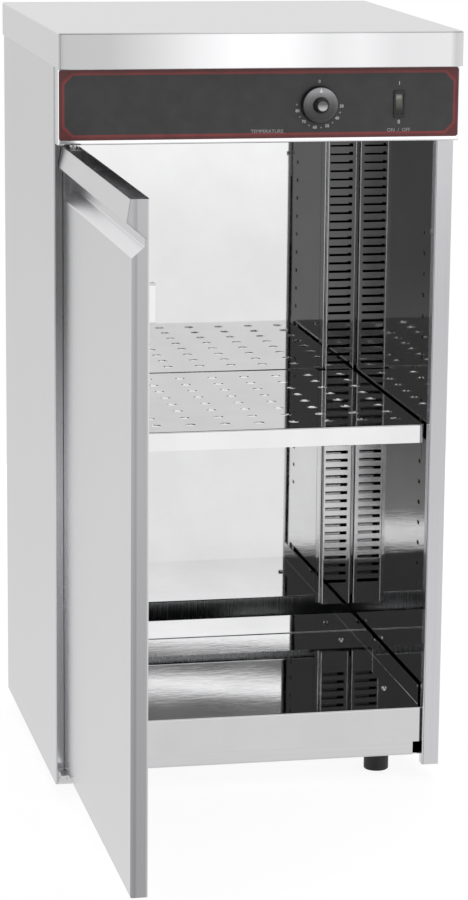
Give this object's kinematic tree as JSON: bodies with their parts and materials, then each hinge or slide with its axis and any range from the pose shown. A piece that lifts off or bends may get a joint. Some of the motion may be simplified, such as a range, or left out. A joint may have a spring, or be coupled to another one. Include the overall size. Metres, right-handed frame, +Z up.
{
  "type": "plate warmer cabinet",
  "caption": "Upright steel plate warmer cabinet with a hinged door and folded pull, slotted air ducts, a perforated shelf, a heater below the floor, a control panel and rubber feet.",
  "frame": {"origin": "on the floor, midway between the side panels and midway between the front and rear flanges, at the height of the feet's lower faces", "axes": "+Z up, -Y towards the door side, +X to the right when facing the door side"},
  "size_m": [0.45, 0.8634, 0.87],
  "materials": {
    "brushed_steel": "brushed stainless steel sheet",
    "mirror_steel": "bright polished stainless steel sheet",
    "panel_steel": "stainless steel behind the control overlay",
    "overlay_film": "dark grey control film with a dark red line border",
    "plain_steel": "zinc coated steel, dull",
    "hinge_steel": "turned and cut steel",
    "black_plastic": "black moulded plastic, slight gloss",
    "grey_nylon": "pale nylon",
    "element_steel": "heat darkened steel tube",
    "ceramic": "white ceramic",
    "copper_tube": "bare copper",
    "mineral_wool": "mineral wool slab, soft and matt",
    "foam_core": "rigid insulation board",
    "magnet": "dark magnet in a plastic case",
    "rubber": "black rubber",
    "screw_steel": "bright steel screws"
  },
  "bodies": {
    "cabinet": {"left_side_panel": "brushed_steel", "right_side_panel": "brushed_steel", "back_panel": "plain_steel", "back_panel_screws": "screw_steel", "worktop": "brushed_steel", "worktop_stiffeners": "plain_steel", "base_plate": "brushed_steel", "control_panel": "panel_steel", "control_overlay": "overlay_film", "left_inner_wall": "mirror_steel", "right_inner_wall": "mirror_steel", "inner_back_wall": "mirror_steel", "chamber_ceiling": "mirror_steel", "left_air_duct": "mirror_steel", "right_air_duct": "mirror_steel", "heater_tray": "mirror_steel", "tray_supports": "plain_steel", "tray_screws": "screw_steel", "heating_element": "element_steel", "element_insulators": "ceramic", "element_saddles": "plain_steel", "left_shelf_rail": "mirror_steel", "right_shelf_rail": "mirror_steel", "lower_hinge_plate": "hinge_steel", "lower_hinge_screws": "screw_steel", "lower_hinge_pin": "hinge_steel", "hinge_washer": "grey_nylon", "upper_hinge_plate": "hinge_steel", "upper_hinge_pin": "hinge_steel", "catch_strike": "hinge_steel", "catch_screw": "screw_steel", "thermostat_body": "plain_steel", "capillary_tube": "copper_tube", "bulb_clips": "plain_steel", "switch_housing": "black_plastic", "cable_gland": "black_plastic", "gland_locknut": "black_plastic", "terminal_block": "ceramic", "side_insulation": "mineral_wool", "back_insulation": "mineral_wool", "top_insulation": "mineral_wool", "feet": "rubber", "foot_screws": "screw_steel", "foot_nuts": "screw_steel"},
    "door": {"door_outer_skin": "brushed_steel", "door_inner_skin": "brushed_steel", "handle_end_caps": "brushed_steel", "door_pivot_blocks": "plain_steel", "hinge_bushes": "grey_nylon", "door_core": "foam_core", "door_magnet": "magnet"},
    "thermostat_knob": {"control_knob": "black_plastic", "thermostat_shaft": "hinge_steel"},
    "power_rocker": {"switch_rocker": "black_plastic"},
    "plate_shelf": {"shelf": "brushed_steel"}
  },
  "joints": [
    {"name": "door_hinge", "type": "hinge", "parent": "cabinet", "child": "door", "pos_m": [-0.2062, -0.219, 0.38], "axis": [0, 0, 1], "range_deg": [-10, 90]},
    {"name": "knob_turn", "type": "hinge", "parent": "cabinet", "child": "thermostat_knob", "pos_m": [0.0651, -0.23, 0.7898], "axis": [0, 1, 0], "range_deg": [0, 285]},
    {"name": "rocker_tilt", "type": "hinge", "parent": "cabinet", "child": "power_rocker", "pos_m": [0.1554, -0.222, 0.7895], "axis": [1, 0, 0], "range_deg": [0, 20]},
    {"name": "shelf_lift", "type": "slide", "parent": "cabinet", "child": "plate_shelf", "axis": [0, 0, 1], "range_m": [0, 0.03]}
  ]
}
